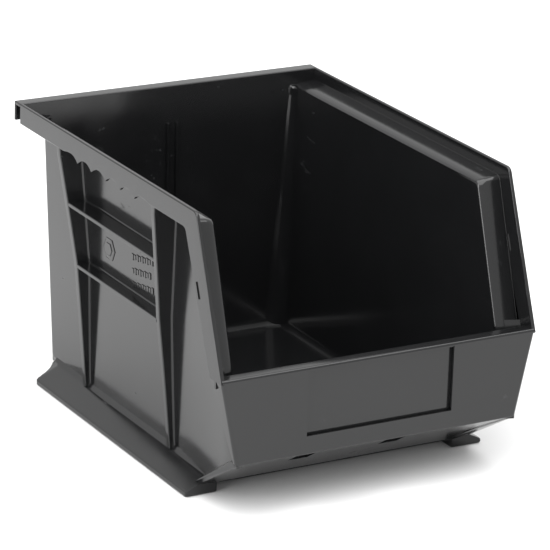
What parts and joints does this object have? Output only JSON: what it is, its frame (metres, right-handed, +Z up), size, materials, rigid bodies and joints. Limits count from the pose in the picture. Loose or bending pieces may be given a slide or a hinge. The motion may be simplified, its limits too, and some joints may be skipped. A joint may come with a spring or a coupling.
{
  "type": "hang-and-stack storage bin",
  "caption": "Open-front plastic storage bin with a sloped hopper mouth, stacking ledges, base rails, ribbed sides, a label recess and a rear hanger channel.",
  "frame": {"origin": "on the ground, under the middle of the bin's overall box", "axes": "+Z up, the open front faces -Y, +Y along the bin's length to the rear hanger, +X to the right seen from the front"},
  "size_m": [0.2096, 0.273, 0.1778],
  "materials": {
    "black_polypropylene": "glossy moulded surface with light scuffs"
  },
  "bodies": {
    "root": {"floor_pan": "black_polypropylene", "back_wall": "black_polypropylene", "rear_hanger": "black_polypropylene", "hopper_ramp": "black_polypropylene", "front_label_panel": "black_polypropylene", "front_lip": "black_polypropylene", "left_side_wall": "black_polypropylene", "left_stacking_ledge": "black_polypropylene", "left_sloping_ledge": "black_polypropylene", "left_rim": "black_polypropylene", "left_sloping_rim": "black_polypropylene", "left_front_cheek": "black_polypropylene", "left_panel_return": "black_polypropylene", "left_corner_web": "black_polypropylene", "left_base_rail": "black_polypropylene", "left_rear_rib": "black_polypropylene", "left_front_rib": "black_polypropylene", "left_upper_grip_shelf": "black_polypropylene", "left_lower_grip_shelf": "black_polypropylene", "left_rear_divider_guide": "black_polypropylene", "left_front_divider_guide": "black_polypropylene", "right_side_wall": "black_polypropylene", "right_stacking_ledge": "black_polypropylene", "right_sloping_ledge": "black_polypropylene", "right_rim": "black_polypropylene", "right_sloping_rim": "black_polypropylene", "right_front_cheek": "black_polypropylene", "right_panel_return": "black_polypropylene", "right_corner_web": "black_polypropylene", "right_base_rail": "black_polypropylene", "right_rear_rib": "black_polypropylene", "right_front_rib": "black_polypropylene", "right_upper_grip_shelf": "black_polypropylene", "right_lower_grip_shelf": "black_polypropylene", "right_rear_divider_guide": "black_polypropylene", "right_front_divider_guide": "black_polypropylene"}
  },
  "joints": []
}
